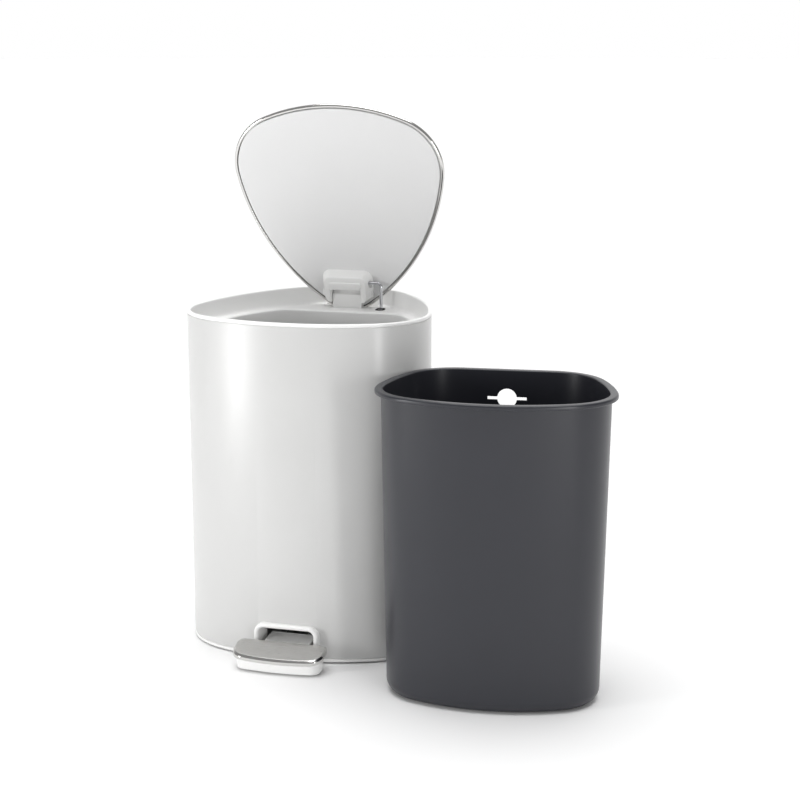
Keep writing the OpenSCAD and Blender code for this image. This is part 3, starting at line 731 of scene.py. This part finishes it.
def bucket():
    """Tapered bucket with a rolled rim and a round finger hole crossed by a slot in its back wall."""
    top, inside = BUCKET_H, 2.2
    outline = cut_plan(BUCKET_INSET * MM, BUCKET_BACK * MM, BUCKET_CORNER_R * MM)
    bm = bmesh.new()
    under, floor = skin(bm, outline, rounded(mm(
        (-34, 0, 0), (-12.7, 0, 14), (-6.7, top - 5, 0.6), (0, top - 5, 1.2), (0, top, 2.2), (-8.9, top, 1.6),
        (-14.9, inside, 12), (-38, inside, 0)), steps=8))
    cap(bm, under)
    cap(bm, floor)
    grip, front, back = top - 32, BUCKET_BACK - 30, BUCKET_BACK + 5
    hole = prism(circle(Vector((0, grip)) * MM, 11 * MM), -back * MM, -front * MM, 0.7 * MM)
    bm = combine(bm, moved(hole, UPRIGHT), "DIFFERENCE")
    slot = block((-22, front, grip - 1.8), (22, back, grip + 1.8))
    bm = combine(bm, slot, "DIFFERENCE")
    moved(bm, Matrix.Translation(BUCKET_SPOT) @ Matrix.Rotation(BUCKET_TURN, 4, "Z")
          @ Matrix.Translation((0, -BUCKET_BACK * MM, 0)))
    piece("bucket", bm, [BUCKET_PP], "bucket", ["inner_bucket"])


for make in (can_shell, rim, grommet, base_tray, foot, pedal_surround, hinge_tongue, hinge_bracket,
             bracket_rib, lid_skin, lid_liner, wire, pedal_plate, pedal_body, bucket):
    make()


# ---- Studio ---------------------------------------------------------------------------------------------

def floor():
    """Wide pale floor, smooth painted and matt."""
    paint = finish_of("matt_white_floor_paint", {}, "#fafafa", "#f8f8f8", 400, (0.8, 0.9), 5, 0.01)
    bm = bmesh.new()
    bmesh.ops.create_circle(bm, cap_ends=True, radius=30, segments=64)
    mesh = bpy.data.meshes.new("floor")
    bm.to_mesh(mesh)
    bm.free()
    mesh.materials.append(paint)
    obj = bpy.data.objects.new("floor", mesh)
    bpy.context.scene.collection.objects.link(obj)


def softbox(name, place, target, size, watts):
    """Rectangular lamp that faces its target."""
    light = bpy.data.lights.new(name, "AREA")
    light.shape = "RECTANGLE"
    light.size, light.size_y = size
    light.energy = watts
    obj = bpy.data.objects.new(name, light)
    obj.location = place
    obj.rotation_euler = (Vector(target) - Vector(place)).to_track_quat("-Z", "Y").to_euler()
    bpy.context.scene.collection.objects.link(obj)


LOOKING = (-0.26, 0.96, 0)


def room():
    """World that is white where the camera looks and dim behind it, for contrast in the metal."""
    world = bpy.data.worlds.new("studio")
    bpy.context.scene.world = world
    world.use_nodes = True
    tree = world.node_tree
    tree.nodes.clear()
    way = add(tree, "ShaderNodeTexCoord").outputs["Generated"]
    behind = add(tree, "ShaderNodeVectorMath", operation="DOT_PRODUCT")
    tree.links.new(way, behind.inputs[0])
    behind.inputs[1].default_value = LOOKING
    strength = add(tree, "ShaderNodeMapRange", {
        "Value": behind.outputs["Value"], "From Min": 0.3, "From Max": 0.85, "To Min": 0.32, "To Max": 1.0})
    light = add(tree, "ShaderNodeBackground", {"Color": (1, 1, 1, 1), "Strength": strength.outputs["Result"]})
    add(tree, "ShaderNodeOutputWorld", {"Surface": light.outputs["Background"]})


def studio():
    """A tall softbox each side in front, and broad soft light from above."""
    floor()
    room()
    softbox("key", (-1.6, -1.6, 0.45), (0.05, 0, 0.3), (0.35, 0.85), 17)
    softbox("fill", (1.6, -1.6, 0.4), (0.1, 0, 0.25), (0.2, 0.75), 8)
    sky = bpy.data.lights.new("ceiling", "SUN")
    sky.energy = 2.2
    sky.angle = radians(50)
    bpy.context.scene.collection.objects.link(bpy.data.objects.new("ceiling", sky))
    bpy.context.scene.view_settings.view_transform = "Standard"


def camera():
    """Long lens, a little to the right of the object and above it."""
    around, above = radians(15.18), radians(12.45)
    data = bpy.data.cameras.new("camera")
    data.sensor_width = 36
    data.lens = 78.0
    data.clip_end = 100
    obj = bpy.data.objects.new("camera", data)
    obj.location = (0.6158, -1.9214, 0.7207)
    obj.rotation_euler = (pi / 2 - above, 0, around)
    bpy.context.scene.collection.objects.link(obj)
    bpy.context.scene.camera = obj


studio()
camera()
